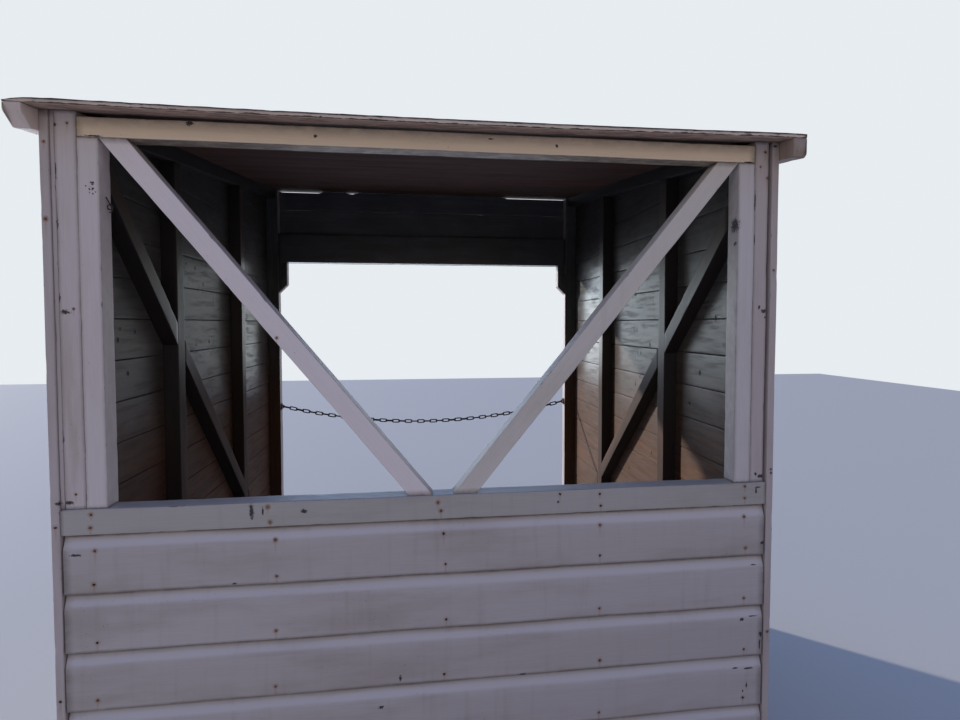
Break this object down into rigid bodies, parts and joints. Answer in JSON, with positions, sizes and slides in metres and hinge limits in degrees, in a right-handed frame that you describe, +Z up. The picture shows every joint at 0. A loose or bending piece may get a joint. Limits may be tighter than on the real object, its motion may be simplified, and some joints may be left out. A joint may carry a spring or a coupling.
{
  "type": "open timber beach shelter",
  "caption": "Small single-pitch timber shelter: boarded rear wall with a V-braced hatch, boarded sides and an open front with a chain hung across it.",
  "frame": {"origin": "on the ground, under the middle of the roof", "axes": "+Z up, +Y out of the open front, -Y out of the rear wall with the hatch, +X to the right as seen from behind"},
  "size_m": [1.925, 1.76, 2.2567],
  "materials": {
    "white_painted_timber": "worn white paint on softwood, with dirt and rust marks at the nails",
    "weathered_timber": "bare softwood, weathered grey-brown",
    "roofing_felt": "mineral roofing felt, matte, with a ragged pale edge",
    "rusty_steel": "dark rusted steel"
  },
  "bodies": {
    "root": {"barge_board_left": "white_painted_timber", "barge_board_right": "white_painted_timber", "chain_staple_left": "rusty_steel", "chain_staple_right": "rusty_steel", "front_beam": "weathered_timber", "front_boards": "white_painted_timber", "front_chain": "rusty_steel", "front_corbel_left": "white_painted_timber", "front_corbel_right": "white_painted_timber", "front_corner_trim_left": "white_painted_timber", "front_corner_trim_right": "white_painted_timber", "front_post_left": "white_painted_timber", "front_post_right": "white_painted_timber", "left_bottom_plate": "weathered_timber", "left_stud_front": "weathered_timber", "left_stud_rear": "weathered_timber", "left_top_plate": "weathered_timber", "left_wall_boards": "white_painted_timber", "left_wall_brace": "weathered_timber", "rear_boards": "white_painted_timber", "rear_bottom_plate": "weathered_timber", "rear_brace_left": "white_painted_timber", "rear_brace_right": "white_painted_timber", "rear_corner_post_left": "white_painted_timber", "rear_corner_post_right": "white_painted_timber", "rear_corner_stud_left": "weathered_timber", "rear_corner_stud_right": "weathered_timber", "rear_corner_trim_left": "white_painted_timber", "rear_corner_trim_right": "white_painted_timber", "rear_head_rail": "white_painted_timber", "rear_jamb_left": "white_painted_timber", "rear_jamb_right": "white_painted_timber", "rear_sill_rail": "white_painted_timber", "rear_stud_left": "weathered_timber", "rear_stud_middle": "weathered_timber", "rear_stud_right": "weathered_timber", "right_bottom_plate": "weathered_timber", "right_stud_front": "weathered_timber", "right_stud_rear": "weathered_timber", "right_top_plate": "weathered_timber", "right_wall_boards": "white_painted_timber", "right_wall_brace": "weathered_timber", "roof_batten_front": "white_painted_timber", "roof_batten_rear": "white_painted_timber", "roof_boards": "weathered_timber", "roof_felt": "roofing_felt"}
  },
  "joints": []
}
